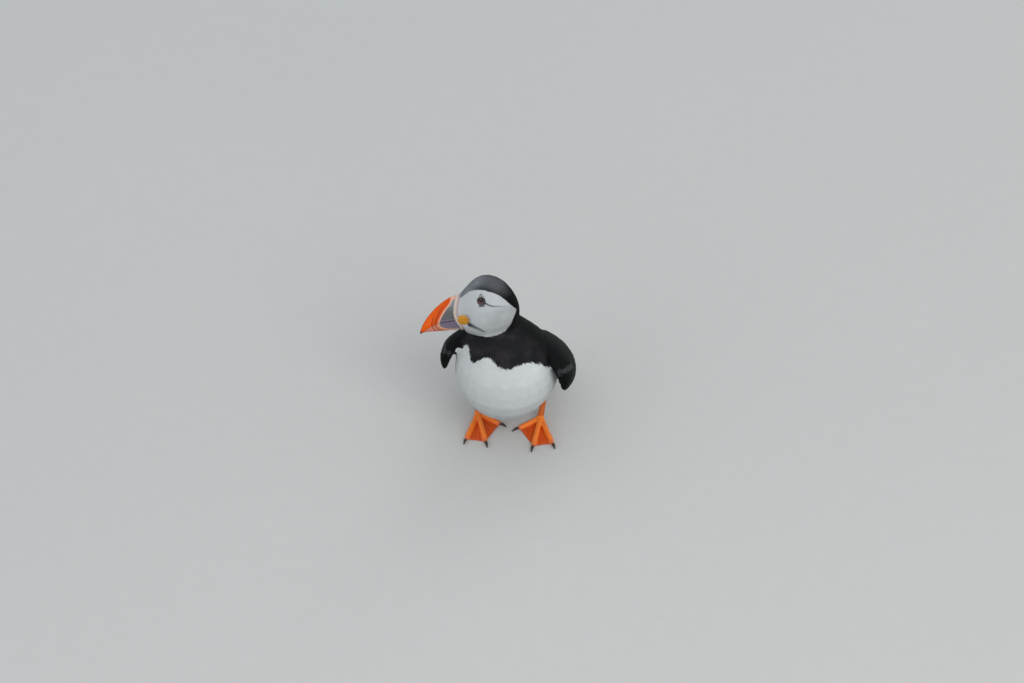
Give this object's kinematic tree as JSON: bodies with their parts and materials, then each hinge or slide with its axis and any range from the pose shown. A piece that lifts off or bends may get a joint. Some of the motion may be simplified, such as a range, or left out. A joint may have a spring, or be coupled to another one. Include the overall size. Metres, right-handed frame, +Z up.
{
  "type": "atlantic puffin model",
  "caption": "Life-size museum model of an Atlantic puffin, standing on its webbed feet with its head turned to its right and its wings let down.",
  "frame": {"origin": "on the floor, under the middle of the bird's bounding box", "axes": "+Z up, the height being the longest side of the box; the breast faces -Y and the bird's left side is +X, the box being narrowest along X"},
  "size_m": [0.1378, 0.1602, 0.1908],
  "materials": {
    "black": "matt black feathers of the neck, back, wings and tail",
    "cap": "matt slate-black feathers of the crown and nape",
    "face": "matt grey-white feathers of the face",
    "white": "matt white feathers of the belly and thighs",
    "orange": "smooth horn, orange-red",
    "slate": "smooth horn, slate blue-grey",
    "cream": "rough horn, cream",
    "yellow": "wrinkled soft skin, orange-yellow",
    "leg": "scaly skin, orange-red",
    "claw": "smooth horn, near black",
    "eye": "polished dark glass, opaque"
  },
  "bodies": {
    "root": {"head": "face", "crown": "cap", "neck": "black", "back": "black", "trunk": "white", "tail": "black", "wing_left": "black", "wing_right": "black", "flight_feathers_left": "black", "flight_feathers_right": "black", "thigh_left": "white", "thigh_right": "white", "shank_left": "leg", "shank_right": "leg", "foot_left": "leg", "foot_right": "leg", "bill_upper_tip": "orange", "bill_upper_plate": "slate", "bill_lower_tip": "orange", "bill_lower_plate": "slate", "bill_rim": "cream", "rosette_left": "yellow", "rosette_right": "yellow", "eye_left": "eye", "eye_right": "eye", "eye_plate_upper_left": "slate", "eye_plate_upper_right": "slate", "eye_plate_lower_left": "slate", "eye_plate_lower_right": "slate", "claw_inner_left": "claw", "claw_inner_right": "claw", "claw_middle_left": "claw", "claw_middle_right": "claw", "claw_outer_left": "claw", "claw_outer_right": "claw"}
  },
  "joints": []
}
